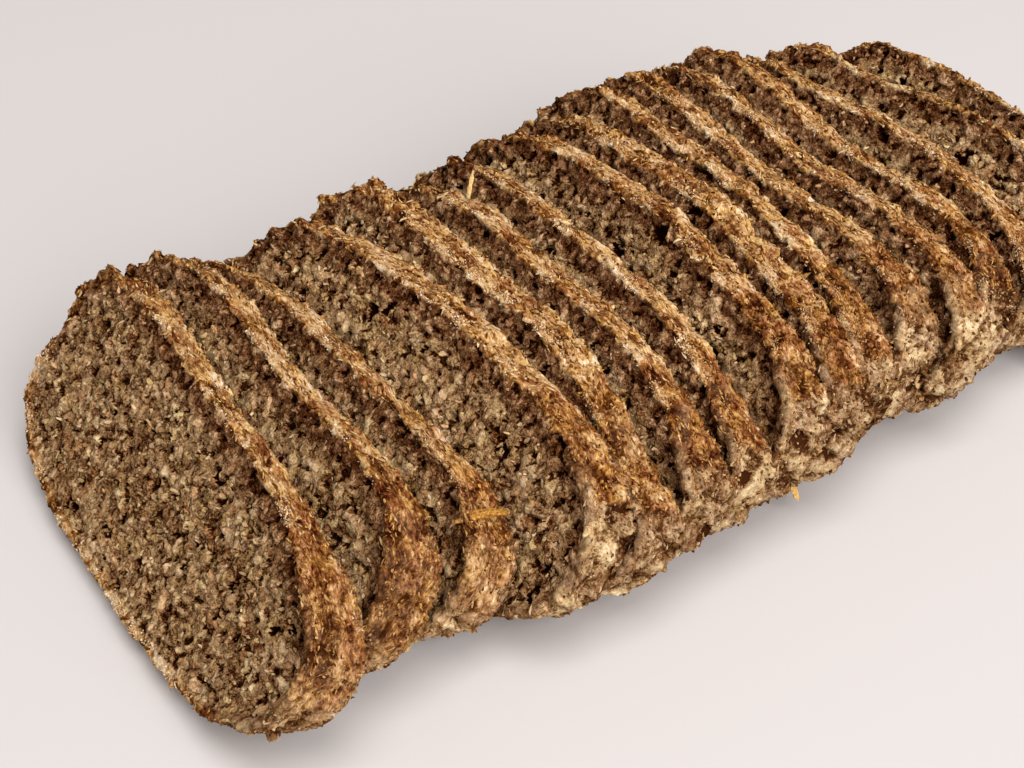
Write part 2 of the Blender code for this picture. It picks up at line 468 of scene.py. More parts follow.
def reliefTree(sizes):
    board, given = newTree("breadRelief", sizes)
    body = given["Geometry"]
    place = board.add("GeometryNodeInputPosition")
    out = board.parts(board.add("GeometryNodeInputNormal"))
    facing = abs(out[0])
    thin = board.add("FunctionNodeCompare", {"operation": "LESS_THAN"}, {"A": facing, "B": thinFacing})
    band = {"Geometry": body, "Selection": thin}
    band = board.add("GeometryNodeSeparateGeometry", {"domain": "FACE"}, band)
    inside = board.add("GeometryNodeProximity", {"target_element": "FACES"}, {0: band}, "Distance")
    x, y, z = board.parts(place)
    across = x / row["thickness"]

    def zone(value, name):
        return board.step(value, *zones[name])

    # What can be seen between the slices: the faces' upper rim, the tops and the two ends
    crust = zone(facing, "crustFacing")
    back = zone(across, "backAcross")
    upper = board.most(zone(z, "upperUp"), zone(abs(y), "endsAside"))
    frontSeen = board.most(given["Whole front"], upper * zone(inside, "frontSeenIn"))
    backSeen = board.most(given["Whole back"], upper * zone(inside, "backSeenIn"))
    crustSeen = board.most(zone(z, "crustSeenUp"), zone(abs(y), "crustSeenAside"))
    crustSeen = board.most(crustSeen, given["Whole front"] * (1 - back))
    seen = (frontSeen * (1 - back) + backSeen * back) * (1 - crust) + crustSeen * crust

    # The crust's rim on the faces, which is torn, and wider at the right end
    rightEnd = zone(y, "rightEnd")
    swell = rightEnd * zone(inside, "swellIn") * (1 - crust)
    ragged = inside + (board.noise(place, rim["fineSize"] * mm) - 0.5) * rim["fineTear"] * mm
    ragged = ragged + (board.noise(place, rim["broadSize"] * mm) - 0.5) * rim["broadTear"] * mm
    outer = given["Whole front"] * board.most(zone(y, "outerAside"), zone(z, "outerLow"))
    wide = rim["width"] * mm + rightEnd * rim["widerRight"] * mm + outer * rim["widerOuter"] * mm
    crust = board.most(crust, zone(ragged - wide, "rimIn"))
    faceEnd = zone(y, "faceEnd") * zone(facing, "faceEndFacing") * rim["faceEnd"]
    browned = zone(given["Number"], "brownedNumber") * zone(z, "brownedUp") * rim["browned"]
    end = crust * board.most(zone(abs(out[1]), "endSideways"), faceEnd) * (1 - browned)
    rest = board.vector("ADD", place, given["Shift"])
    body = storeAll(board, body, {"rest": rest, "thickAxis": given["Thick axis"]}, "FLOAT_VECTOR")
    body = storeAll(board, body, {
        "number": given["Number"],
        "crust": crust,
        "inside": inside,
        "swell": swell,
        "baked": zone(inside, "bakedIn") * zone(z, "bakedUp"),
        "across": across,
        "seen": seen,
        "end": end,
        "right": zone(y, "right"),
        "arris": zone(facing, "arrisFrom") * zone(facing, "arrisTo"),
        "corner": zone(y, "cornerAside") * zone(z, "cornerUp"),
    })
    rest, crust = board.kept("rest", "FLOAT_VECTOR"), board.kept("crust")
    inside, end = board.kept("inside"), board.kept("end")

    # Crumb: domed grains of uneven height, gathered into clumps, with pores between them
    found = crumbMap(board, rest, given["Openness"])
    warped, rough = found["warped"], found["rough"] - crumbForm["roughMiddle"]
    clump = board.noise(rest, crumbForm["clumpSize"], detail=1.0) - 0.5
    pore = board.step(found["hole"], *crumbForm["poreStep"]) * board.step(inside, *crumbForm["poreIn"])
    rise = (found["dome"] - 1) * given["Grain depth"] + rough * given["Rough depth"]
    sinks = pore * given["Pore depth"] + found["pits"] * given["Pit depth"]
    crumbMove = rise + clump * given["Clump depth"] - sinks

    # Crust: flaky plates, longer along the crust than across it, and larger at the two ends
    form = crustForm
    small, smallTone = plates(board, warped, form["flakeStretch"], form["flake"])
    large, largeTone = plates(board, warped, form["endStretch"], form["endFlake"])
    crag = board.noise(rest, form["cragSize"], detail=4.0, roughness=0.7) - 0.5
    topMove = (small * form["topFlake"] + crag * form["topCrag"] - form["drop"]) * given["Flake depth"]
    crack = board.step(board.noise(warped, form["crackSize"]), *form["crackStep"])
    endMove = large * form["endLarge"] + small * form["endSmall"] + crag * form["endCrag"]
    endMove = (endMove - crack * form["endCrack"] - form["drop"]) * given["End depth"]
    crustMove = topMove * (1 - end) + endMove * end
    # How far the crust sinks, where its colour is darkened as painted shade
    sunk = board.step(crustMove, *form["sunkStep"])

    # The torn edge between face and crust, and the crumbled top left corner
    form = tornForm
    torn = board.noise(rest, form["arrisSize"]) - form["arrisMiddle"]
    torn = torn * given["Arris depth"] * board.kept("arris")
    peaks = board.noise(rest, form["cornerSize"], detail=3.0) - form["cornerMiddle"]
    peaks = peaks * given["Corner depth"] * board.kept("corner")
    move = crumbMove * (1 - crust) + crustMove * crust + torn
    move = move + peaks * (crust * form["cornerCrust"] + form["cornerCrumb"])
    move = move + board.kept("swell") * given["Swell"]
    body = storeAll(board, body, {
        "pore": pore,
        "pits": found["pits"],
        "open": given["Openness"],
        "plate": smallTone * (1 - end) + largeTone * end,
        "sunk": sunk,
    })
    body = board.add("GeometryNodeSetPosition", None, {
        "Geometry": body, "Offset": board.scaled(board.add("GeometryNodeInputNormal"), move)})
    shown = board.vector("ADD", board.add("GeometryNodeInputPosition"), given["Shift"])
    body = storeAll(board, body, {"shown": shown}, "FLOAT_VECTOR")
    board.add("NodeGroupOutput", None, {"Geometry": body})
    return board.tree


weldWithin = 0.01 * mm  # the solids' corners that are nearer than this are one
patternStep = (0.0, 0.31, 0.17)  # metres from one slice's pattern of grains to the next


def cadCopy(number, place):  # the solid slice as one closed mesh, in the slice's own frame
    mesh = bmesh.new()
    mesh.from_mesh(frame["nodes"][f"slice_{number + 1:02d}"].data)
    bmesh.ops.remove_doubles(mesh, verts=mesh.verts, dist=weldWithin)
    mesh.transform(place.inverted())
    return settled("sliceCore", mesh)


def keepIn(mesh):  # nothing passes the solid model's own box, or what it stands on
    points = numpy.empty(len(mesh.vertices) * 3, dtype=numpy.float32)
    mesh.vertices.foreach_get("co", points)
    inBox = numpy.clip(points.reshape(-1, 3), cadBox[0], cadBox[1])
    mesh.vertices.foreach_set("co", inBox.ravel())
    mesh.update()


def makeSlice(number, tree, material, slices):  # number counts from 0
    place = placeOf(number)
    core = show("core", cadCopy(number, place))
    remesh = core.modifiers.new("grid", "REMESH")
    remesh.mode = "VOXEL"
    remesh.voxel_size = relief["frontVoxel"] if number == 0 else relief["voxel"]
    smooth = core.modifiers.new("soften", "SMOOTH")
    smooth.factor = relief["softenFactor"]
    smooth.iterations = relief["soften"]
    values = dict(relief["sizes"])
    values["Openness"] = row["open"][number]
    values["Shift"] = tuple(step * number for step in patternStep)
    values["Thick axis"] = tuple(place.to_3x3() @ Vector((1, 0, 0)))
    values["Number"] = float(number)
    values["Whole front"] = 1.0 if number == 0 else 0.0
    values["Whole back"] = 1.0 if number == sliceCount - 1 else 0.0
    giveTree(core, tree, values)
    mesh = plain(core)
    bpy.data.objects.remove(core)
    mesh.transform(place)
    keepIn(mesh)
    mesh.shade_smooth()
    mesh.materials.clear()
    mesh.materials.append(material)
    one = show(f"breadSlice_{number + 1:02d}", mesh)
    slices.objects.link(one)
    return one


# Small closed shapes that are scattered over the slices, each about one unit long
def shapeSet(name, makers):
    shapes = bpy.data.collections.new(name)
    for number, make in enumerate(makers):
        mesh = bmesh.new()
        make(mesh, random.Random(f"{name}{number}"))
        bmesh.ops.recalc_face_normals(mesh, faces=mesh.faces)
        for face in mesh.faces:
            face.smooth = False
        data = settled(f"{name}{number}", mesh)
        shapes.objects.link(bpy.data.objects.new(data.name, data))
    return shapes


def crumbShape(mesh, draw):  # an uneven lump
    bmesh.ops.create_icosphere(mesh, subdivisions=1, radius=0.5)
    stretch = Vector((1, draw.uniform(0.6, 0.95), draw.uniform(0.55, 0.85)))
    for vert in mesh.verts:
        vert.co = vert.co * stretch * draw.uniform(0.72, 1.22)


def fibreShape(mesh, draw):  # a thin bent sliver with a three-sided section
    sides = 3
    bend = draw.uniform(-0.25, 0.25)
    rings = []
    for along, width in ((-0.22, 0.9), (0.2, 1.0)):
        ring = []
        for corner in range(sides):
            turn = 2 * math.pi * corner / sides
            outward = Vector((0, math.cos(turn) * 0.5, math.sin(turn) * 0.5))
            outward = outward * width * draw.uniform(0.8, 1.2)
            ring.append(mesh.verts.new(Vector((along, bend * 0.6, 0)) + outward))
        rings.append(ring)
    tips = [mesh.verts.new((-0.5, -bend, 0.1)), mesh.verts.new((0.5, -bend, -0.1))]
    for corner in range(sides):
        after = (corner + 1) % sides
        mesh.faces.new((tips[0], rings[0][after], rings[0][corner]))
        mesh.faces.new((rings[0][corner], rings[0][after], rings[1][after], rings[1][corner]))
        mesh.faces.new((rings[1][corner], rings[1][after], tips[1]))


def flakeShape(mesh, draw):  # a rolled oat: a thin, curled plate with a broken rim
    sides = 8
    bmesh.ops.create_cone(mesh, cap_ends=True, segments=sides, radius1=0.5, radius2=0.42, depth=0.12)
    caps = [face for face in mesh.faces if len(face.verts) > 4]
    bmesh.ops.poke(mesh, faces=caps)
    curl, width = draw.uniform(0.3, 0.9), draw.uniform(0.5, 0.8)
    reach = [draw.uniform(0.75, 1.15) for _ in range(sides)]
    for vert in mesh.verts:
        x, y, z = vert.co
        broken = reach[int(math.atan2(y, x) / math.pi * sides / 2 + sides + 0.5) % sides]
        x, y = x * broken, y * broken * width
        vert.co = (x, y, z + curl * x * x - 0.5 * curl * y * abs(y) + draw.uniform(-0.04, 0.04))


def chipShape(mesh, draw):  # a broken chip with five to seven sides and an uneven top
    sides = draw.choice((5, 6, 7))
    reach = [draw.uniform(0.32, 0.58) for _ in range(sides)]
    rings = []
    for height, share in ((-0.5, 0.9), (0.5, 0.8)):
        ring = []
        for corner in range(sides):
            turn = 2 * math.pi * corner / sides
            x, y = math.cos(turn) * reach[corner] * share, math.sin(turn) * reach[corner] * share
            ring.append(mesh.verts.new((x, y, height * draw.uniform(0.6, 1.1))))
        rings.append(ring)
    for corner in range(sides):
        after = (corner + 1) % sides
        mesh.faces.new((rings[0][corner], rings[0][after], rings[1][after], rings[1][corner]))
    mesh.faces.new(rings[0])
    mesh.faces.new(rings[1])


seeds = {"turn": 3, "size": 5, "tint": 7, "share": 9, "shape": 11, "hue": 13}


def scatterTree(name, sizes, shapes, material, chance):  # for the slices from "First" to "Last"
    board, given = newTree(name, {"First": 0.0, "Last": 0.0, **sizes})
    slices = {"Collection": bpy.data.collections["breadSlices"]}
    body = board.add("GeometryNodeRealizeInstances", None, {
        0: board.add("GeometryNodeCollectionInfo", None, slices)})
    number = board.kept("number")
    mine = (number > given["First"] - 0.5) * (number < given["Last"] + 0.5)
    points = board.add("GeometryNodeDistributePointsOnFaces", {"distribute_method": "POISSON"}, {
        "Mesh": body, "Distance Min": given["Least gap"], "Density Max": given["Most per area"],
        "Density Factor": chance(board) * mine * board.kept("seen"), "Seed": given["Seed"]})
    normal = points.also("Normal")
    along = board.vector("CROSS_PRODUCT", normal, board.kept("thickAxis", "FLOAT_VECTOR"))
    flat = board.add("FunctionNodeAxesToRotation", {"primary_axis": "Z", "secondary_axis": "X"}, {
        "Primary Axis": normal, "Secondary Axis": along})
    turns = board.drawn(given["Least turn"], given["Most turn"], seeds["turn"], "FLOAT_VECTOR")
    turned = board.add("FunctionNodeRotateRotation", {"rotation_space": "LOCAL"}, {
        "Rotation": flat, "Rotate By": board.add("FunctionNodeEulerToRotation", None, {0: turns})})
    size = board.drawn(given["Smallest"], given["Largest"], seeds["size"], "FLOAT_VECTOR")
    size = board.scaled(size, board.drawn(given["Least share"], 1.0, seeds["share"]))
    points = storeAll(board, points, {
        "tint": board.drawn(0.0, 1.0, seeds["tint"]), "hue": board.drawn(0.0, 1.0, seeds["hue"])})
    points = board.add("GeometryNodeSetPosition", None, {
        "Geometry": points, "Offset": board.scaled(normal, given["Lift"])})
    kinds = board.add("GeometryNodeCollectionInfo", None, {
        "Collection": shapes, "Separate Children": True, "Reset Children": True})
    pick = board.drawn(0, len(shapes.objects) - 1, seeds["shape"], "INT")
    things = board.add("GeometryNodeInstanceOnPoints", None, {
        "Points": points, "Instance": kinds, "Pick Instance": True, "Instance Index": pick,
        "Rotation": turned, "Scale": size})
    things = board.add("GeometryNodeRealizeInstances", None, {0: things})
    things = board.add("GeometryNodeSetMaterial", None, {"Geometry": things, "Material": material})
    board.add("NodeGroupOutput", None, {"Geometry": things})
    return board.tree


def scatter(name, tree, values):  # one piece of small shapes, on the slices that it is given
    host = show("host", bpy.data.meshes.new("host"))
    giveTree(host, tree, values)
    mesh = plain(host)
    bpy.data.objects.remove(host)
    keepIn(mesh)
    return show(name, mesh)


# The loose shapes. "Smallest" and "Largest" are length, width and thickness, in metres, and each
# shape is then scaled by a share between "Least share" and 1.
grains = {
    "Seed": 1,
    "Least gap": 1.05 * mm,
    "Most per area": 1.1e6,
    "Smallest": (1.3 * mm, 0.7 * mm, 0.45 * mm),
    "Largest": (3.4 * mm, 1.6 * mm, 1.0 * mm),
    "Least share": 0.5,
    "Least turn": (-0.6, -0.6, -3.14),
    "Most turn": (0.6, 0.6, 3.14),
    "Lift": -0.1 * mm,
}
fibres = {
    "Seed": 2,
    "Least gap": 0.45 * mm,
    "Most per area": 1.4e6,
    "Smallest": (0.8 * mm, 0.3 * mm, 0.2 * mm),
    "Largest": (3.0 * mm, 0.8 * mm, 0.5 * mm),
    "Least share": 0.6,
    "Least turn": (-0.5, -0.25, -0.7),
    "Most turn": (0.5, 0.25, 0.7),
    "Lift": 0.05 * mm,
}
tumbled = {"Least turn": (-1.5, -1.5, -3.14), "Most turn": (1.5, 1.5, 3.14)}
edgeCrumbs = {
    "Seed": 3,
    "Least gap": 0.7 * mm,
    "Most per area": 9e5,
    "Smallest": (0.7 * mm, 0.6 * mm, 0.5 * mm),
    "Largest": (1.8 * mm, 1.5 * mm, 1.2 * mm),
    "Least share": 0.5,
    **tumbled,
    "Lift": 0.1 * mm,
}
flourCrumbs = {
    "Seed": 4,
    "Least gap": 0.35 * mm,
    "Most per area": 4e6,
    "Smallest": (0.35 * mm, 0.3 * mm, 0.25 * mm),
    "Largest": (0.8 * mm, 0.7 * mm, 0.5 * mm),
    "Least share": 0.6,
    **tumbled,
    "Lift": 0.05 * mm,
}
oatFlakes = {
    "Seed": 5,
    "Least gap": 3.0 * mm,
    "Most per area": 4.5e4,
    "Smallest": (2.4 * mm, 2.0 * mm, 2.2 * mm),
    "Largest": (5.4 * mm, 3.8 * mm, 3.4 * mm),
    "Least share": 0.7,
    "Least turn": (-0.35, -0.35, -3.14),
    "Most turn": (0.35, 0.35, 3.14),
    "Lift": -0.35 * mm,
}


# Where the loose shapes lie, as sizes in metres, ends of eased steps, and shares of the most
chances = {
    "grain": {
        "flockSize": 4 * mm,
        "flockStep": (0.42, 0.58),
        "least": 0.12,
        "flocks": 0.6,
        "nearCrust": (7 * mm, 3 * mm),
        "lessNearCrust": 0.5,
        "poreStep": (0.0, 0.2),
        "pitStep": (0.2, 0.6),
    },
    "fibre": {
        "flockSize": 3 * mm,
        "flockStep": (0.42, 0.6),
        "least": 0.15,
        "flocks": 0.6,
        "lessAtEnds": 0.75,
    },
    "edge": {"arris": 0.8, "ends": 0.1},
    "flour": {
        "size": 8 * mm,
        "step": (0.47, 0.57),
        "frontStep": (0.5, 0.15),
        "arrisStep": (-0.2, 0.0),
        "asideStep": (-48 * mm, -36 * mm),
    },
    "flake": {"faces": 0.02, "crust": 0.05},
}


def flocks(board, given):  # patches in which the shapes lie closer
    place = board.kept("rest", "FLOAT_VECTOR")
    return board.step(board.noise(place, given["flockSize"], detail=1.0), *given["flockStep"])


def grainChance(board):
    given = chances["grain"]
    dense = given["least"] + given["flocks"] * flocks(board, given)
    nearCrust = board.step(board.kept("inside"), *given["nearCrust"])
    noPore = 1 - board.step(board.kept("pore"), *given["poreStep"])
    clear = noPore * (1 - board.step(board.kept("pits"), *given["pitStep"]))
    return (1 - board.kept("crust")) * clear * dense * (1 - nearCrust * given["lessNearCrust"])


def fibreChance(board):
    given = chances["fibre"]
    onCrust = board.kept("crust") * (1 - board.kept("end") * given["lessAtEnds"])
    return onCrust * (given["least"] + given["flocks"] * flocks(board, given))


def edgeChance(board):
    given = chances["edge"]
    return board.kept("arris") * given["arris"] + board.kept("end") * given["ends"]


def floury(board, place):  # where flour lies thick on the crust
    given = chances["flour"]
    return board.step(board.noise(place, given["size"], detail=3.0), *given["step"])


def flourChance(board):
    given = chances["flour"]
    across = board.kept("across")
    front = board.step(across, *given["frontStep"]) * board.step(across, *given["arrisStep"])
    y = board.parts(board.add("GeometryNodeInputPosition"))[1]
    front = front * (1 - board.kept("corner")) * board.step(y, *given["asideStep"])
    return front * board.kept("crust") * floury(board, board.kept("rest", "FLOAT_VECTOR"))


def flakeChance(board):
    given = chances["flake"]
    crust, end = board.kept("crust"), board.kept("end")
    onFaces = (1 - crust) * (1 - board.kept("pore")) * given["faces"]
    return end + crust * (1 - end) * given["crust"] + onFaces


# Broken husks that stick to the slices. "From" and "to" are their ends in a slice's own frame,
# in mm as the widths and the curls are.
husks = {
    "splinter": {
        "slice": 7, "from": (-0.2, 39.2, 41.6), "to": (-1.4, 41.9, 49.6),
        "width": 1.1, "curl": 0.3, "tint": 1.0,
    },
    "goldenFlake": {
        "slice": 3, "from": (-0.8, -44.8, 32.6), "to": (7.5, -49.0, 39.0),
        "width": 2.3, "curl": 0.8, "tint": 0.45,
    },
    "lowerCurl": {
        "slice": 9, "from": (7.6, -53.6, 11.6), "to": (12.6, -57.6, 8.8),
        "width": 2.8, "curl": 0.8, "tint": 0.9,
    },
    "frontCurl": {
        "slice": 3, "from": (3.4, -44.8, 8.6), "to": (0.0, -50.0, 6.2),
        "width": 2.2, "curl": 1.2, "tint": 0.85,
    },
}
huskShape = {
    "rings": 11,
    "corners": 8,
    "ends": (0.08, 0.84),
    "fullness": 0.6,
    "unevenWidth": (0.7, 1.25),
    "unevenSkin": (0.7, 1.2),
    "halfWidth": 0.5,
    "halfThickness": 0.22,
}


def makeHusk(mesh, husk):
    place = placeOf(husk["slice"] - 1)
    start, end = (place @ (Vector(husk[key]) * mm) for key in ("from", "to"))
    along = end - start
    side = along.cross(Vector((0, 0, 1))).normalized()
    up = side.cross(along).normalized()
    draw = random.Random(husk["slice"])
    first, most = huskShape["ends"]
    corners = huskShape["corners"]
    rings = []
    for number in range(huskShape["rings"]):
        share = number / (huskShape["rings"] - 1)
        wide = husk["width"] * mm * math.sin(math.pi * (first + most * share)) ** huskShape["fullness"]
        wide = wide * draw.uniform(*huskShape["unevenWidth"])
        centre = start + along * share + up * husk["curl"] * mm * math.sin(math.pi * share)
        ring = []
        for corner in range(corners):
            turn = 2 * math.pi * corner / corners
            outward = side * math.cos(turn) * huskShape["halfWidth"]
            outward = outward + up * math.sin(turn) * huskShape["halfThickness"]
            ring.append(mesh.verts.new(centre + outward * wide * draw.uniform(*huskShape["unevenSkin"])))
        rings.append(ring)
    for one, other in zip(rings, rings[1:]):
        for corner in range(corners):
            after = (corner + 1) % corners
            mesh.faces.new((one[corner], one[after], other[after], other[corner]))
    mesh.faces.new(rings[0])
    mesh.faces.new(rings[-1])


def makeHusks(material):
    mesh = bmesh.new()
    shades = []
    for husk in husks.values():
        makeHusk(mesh, husk)
        shades += [husk["tint"]] * (len(mesh.verts) - len(shades))
    bmesh.ops.recalc_face_normals(mesh, faces=mesh.faces)
    data = settled("brokenHusks", mesh)
    data.attributes.new("tint", "FLOAT", "POINT").data.foreach_set("value", shades)
    for name in ("across", "hue"):
        data.attributes.new(name, "FLOAT", "POINT").data.foreach_set("value", [1.0] * len(shades))
    data.materials.append(material)
    keepIn(data)
    return show("brokenHusks_01", data)


# Colours as the eye sees them in soft light, with their places from dark to light
crumbColours = {
    "pit": (0.0, (20, 3, 0)), "shade": (0.24, (69, 35, 14)), "crumb": (0.5, (138, 104, 70)),
    "grain": (0.76, (171, 139, 102)), "pale": (1.0, (198, 169, 134)),
}
strawColours = {
    "pit": (0.0, (28, 11, 1)), "shade": (0.24, (80, 50, 20)), "crumb": (0.5, (153, 120, 74)),
    "grain": (0.76, (189, 160, 111)), "pale": (1.0, (214, 192, 152)),
}
rustColours = {
    "pit": (0.0, (26, 5, 1)), "shade": (0.24, (78, 40, 16)), "crumb": (0.5, (146, 100, 62)),
    "grain": (0.76, (180, 137, 94)), "pale": (1.0, (208, 170, 130)),
}
bakedColours = {
    "pit": (0.0, (16, 3, 1)), "dark": (0.25, (57, 25, 9)), "brown": (0.5, (103, 66, 39)),
    "tan": (0.75, (150, 112, 78)), "pale": (1.0, (198, 162, 124)),
}
grainColours = {
    "brown": (0.0, (56, 29, 12)), "tan": (0.28, (110, 79, 50)), "oat": (0.52, (150, 118, 82)),
    "pale": (0.78, (174, 145, 109)), "white": (1.0, (198, 173, 141)),
}
crustColours = {
    "burnt": (0.0, (46, 18, 6)), "brown": (0.25, (106, 64, 32)), "golden": (0.5, (166, 124, 76)),
    "straw": (0.74, (195, 161, 118)), "flour": (1.0, (218, 199, 171)),
}
russetColours = {
    "burnt": (0.0, (38, 12, 4)), "brown": (0.25, (92, 48, 22)), "russet": (0.5, (142, 90, 50)),
    "tan": (0.74, (181, 140, 99)), "flour": (1.0, (215, 191, 164)),
}
endColours = {
    "burnt": (0.0, (56, 28, 12)), "brown": (0.24, (112, 77, 46)), "tan": (0.5, (160, 130, 98)),
    "oat": (0.76, (192, 167, 134)), "flour": (1.0, (226, 208, 182)),
}
goldenColours = {
    "burnt": (0.0, (84, 44, 10)), "brown": (0.25, (142, 94, 38)), "golden": (0.5, (190, 142, 72)),
    "straw": (0.75, (207, 171, 110)), "pale": (1.0, (225, 202, 157)),
}
fibreColours = {
    "burnt": (0.0, (72, 34, 12)), "brown": (0.25, (126, 80, 42)), "golden": (0.5, (176, 134, 82)),
    "straw": (0.75, (199, 166, 121)), "pale": (1.0, (222, 201, 169)),
}
flourColours = {
    "tan": (0.0, (156, 122, 88)), "flour": (0.5, (192, 166, 134)),
    "white": (1.0, (222, 202, 176)),
}
flakeColours = {
    "brown": (0.0, (104, 70, 36)), "oat": (0.35, (158, 124, 78)),
    "golden": (0.6, (194, 160, 102)), "pale": (1.0, (222, 198, 156)),
}


# What the shaders' textures and patches are: sizes in metres, ends of eased steps, and shares
texture = {
    "fine": 0.45 * mm,
    "middle": 1.5 * mm,
    "grainMiddle": 3 * mm,
    "broad": 4 * mm,
    "wide": 12 * mm,
    "streaks": (1.0, 0.3, 0.3),
    "bands": (1.0, 0.6, 0.6),
    "poreStep": (0.0, 0.15 * mm),
    "flourStep": (0.42, 0.02),
    "lessFlourRight": 0.4,
}
patches = {
    "strawHue": (0.6, 0.75),
    "straw": 0.6,
    "rustHue": (0.32, 0.2),
    "rust": 0.6,
    "bakedDarker": 0.04,
    "russetSize": 7 * mm,
    "russetStep": (0.5, 0.6),
    "russetRight": 0.1,
    "amberSize": 5 * mm,
    "amberStep": (0.52, 0.62),
    "amber": 0.4,
    "goldenPlate": (0.45, 0.7),
    "golden": 0.55,
    "grainStraw": (0.65, 0.8),
    "grainRust": (0.25, 0.12),
}

# What makes a surface lighter or darker than its base. In the crumb, gap, pits and pore are painted shade in
# the crevices between grains, in the pits and in the pores, and rough is painted light and shade that make
# the raised crumb lighter than its hollows.
crumbLight = {
    "base": 0.585, "tone": 0.5, "fine": 1.0, "middle": 0.8, "wide": 0.3,
    "rough": 0.9, "gap": -0.2, "pits": -0.4, "pore": -0.9,
}
# On the crust, sunk is painted shade where the flakes sink, and across paints the back of the crust lighter,
# against the shade of the next slice
crustLight = {
    "base": 0.33, "streak": 1.4, "plate": 0.35, "middle": 1.2, "broad": 1.1,
    "flour": 0.23, "across": 0.27, "sunk": -0.3, "corner": -0.15, "right": -0.15,
}
# On the ends, sunk is painted shade where the flakes sink
endLight = {
    "base": 0.5, "fine": 0.9, "plate": 0.5, "middle": 1.1, "broad": 0.6,
    "flour": 0.08, "sunk": -0.45,
}
grainLight = {"base": 0.51, "tint": 0.65, "fine": 1.0, "middle": 0.7, "wide": 0.3}
bumps = {
    "strength": 0.8,
    "slice": 0.5 * mm,
    "grain": 0.25 * mm,
    "loose": 0.2 * mm,
    "fine": 0.7,
    "middle": 0.6,
    "dome": 0.5,
    "gap": 0.4,
}
surface = {"Roughness": 0.85, "Specular IOR Level": 0.0}


def flourOn(board, rest):  # towards a slice's front, less at its right, none at its left corner
    front = board.step(carried(board, "across"), *texture["flourStep"])
    front = front * floury(board, rest) * (1 - carried(board, "corner"))
    return front * (1 - carried(board, "right") * texture["lessFlourRight"])


def setInputs(node, values):
    for name, value in values.items():
        node.inputs[name].default_value = value


def newMaterial(name, values):
    material = bpy.data.materials.new(name)
    material.use_nodes = True
    shader = material.node_tree.nodes["Principled BSDF"]
    setInputs(shader, values)
    return material, shader, Board(material.node_tree)


def carried(board, name, out="Fac"):  # an attribute that the mesh carries
    return board.add("ShaderNodeAttribute", {"attribute_name": name}, None, out)


def tinted(board, value, colours):
    stops = [(place, linear(*colour)) for place, colour in colours.values()]
    return board.add("ShaderNodeValToRGB", {"stops": stops}, {"Fac": value}, "Color")


def finish(board, shader, colour, height, depth):
    board.tree.links.new(colour.socket, shader.inputs["Base Color"])
    values = {"Strength": bumps["strength"], "Distance": depth, "Height": height}
    bump = board.add("ShaderNodeBump", None, values, "Normal")
    board.tree.links.new(bump.socket, shader.inputs["Normal"])


def sliceMaterial():
    material, shader, board = newMaterial("oatBread", surface)
    rest = carried(board, "rest", "Vector")
    names = ("crust", "inside", "end", "baked", "plate", "sunk", "across", "corner", "right")
    crust, inside, end, baked, plate, sunk, across, corner, right = (carried(board, name) for name in names)
    found = crumbMap(board, rest, carried(board, "open"))
    shown = carried(board, "shown", "Vector")
    fine = board.noise(shown, texture["fine"], roughness=0.7) - 0.5
    middle = board.noise(shown, texture["middle"], detail=3.0, roughness=0.65) - 0.5
    wide = board.noise(rest, texture["wide"], detail=1.0) - 0.5

    # The crumb's lightness: painted shade in the pores, the crevices between grains and the pits, and
    # painted light on the raised crumb
    pore = board.step(found["hole"], *texture["poreStep"]) * board.step(inside, *crumbForm["poreIn"])
    light = weighed(
        crumbLight, tone=found["tone"] - 0.5, fine=fine, middle=middle, wide=wide,
        rough=found["rough"], gap=found["gap"], pits=found["pits"], pore=pore)
    straw = board.step(found["hue"], *patches["strawHue"]) * patches["straw"]
    rust = board.step(found["hue"], *patches["rustHue"]) * patches["rust"]
    inner = tinted(board, light, crumbColours)
    inner = board.blend(straw, inner, tinted(board, light, strawColours))
    inner = board.blend(rust, inner, tinted(board, light, rustColours))
    inner = board.blend(baked, inner, tinted(board, light - patches["bakedDarker"], bakedColours))

    streaks = board.vector("MULTIPLY", shown, texture["streaks"])
    streak = board.noise(streaks, texture["fine"], roughness=0.7) - 0.5
    bands = board.vector("MULTIPLY", rest, texture["bands"])
    broad = board.noise(bands, texture["broad"]) - 0.5
    flour = flourOn(board, rest)
    # The crust's lightness, with painted shade where it sinks and painted light towards its back
    glow = weighed(
        crustLight, streak=streak, plate=plate - 0.5, middle=middle, broad=broad, flour=flour,
        across=across, sunk=sunk, corner=corner, right=right)
    russet = board.noise(rest, patches["russetSize"]) + right * patches["russetRight"]
    russet = board.step(russet, *patches["russetStep"]) * (1 - flour)
    amber = board.step(board.noise(rest, patches["amberSize"]), *patches["amberStep"])
    amber = amber * (1 - flour) * patches["amber"]
    skin = board.blend(russet, tinted(board, glow, crustColours), tinted(board, glow, russetColours))
    skin = board.blend(amber, skin, tinted(board, glow, goldenColours))

    # The ends' lightness, with painted shade where they sink
    craggy = weighed(
        endLight, fine=fine, plate=plate - 0.5, middle=middle, broad=broad, flour=flour, sunk=sunk)
    golden = board.step(plate, *patches["goldenPlate"]) * patches["golden"]
    craggy = board.blend(golden, tinted(board, craggy, endColours), tinted(board, craggy, strawColours))
    skin = board.blend(end, skin, craggy)
    domes = found["dome"] * bumps["dome"] - found["gap"] * bumps["gap"]
    height = fine * bumps["fine"] + middle * bumps["middle"] + domes * (1 - crust)
    finish(board, shader, board.blend(crust, inner, skin), height, bumps["slice"])
    return material


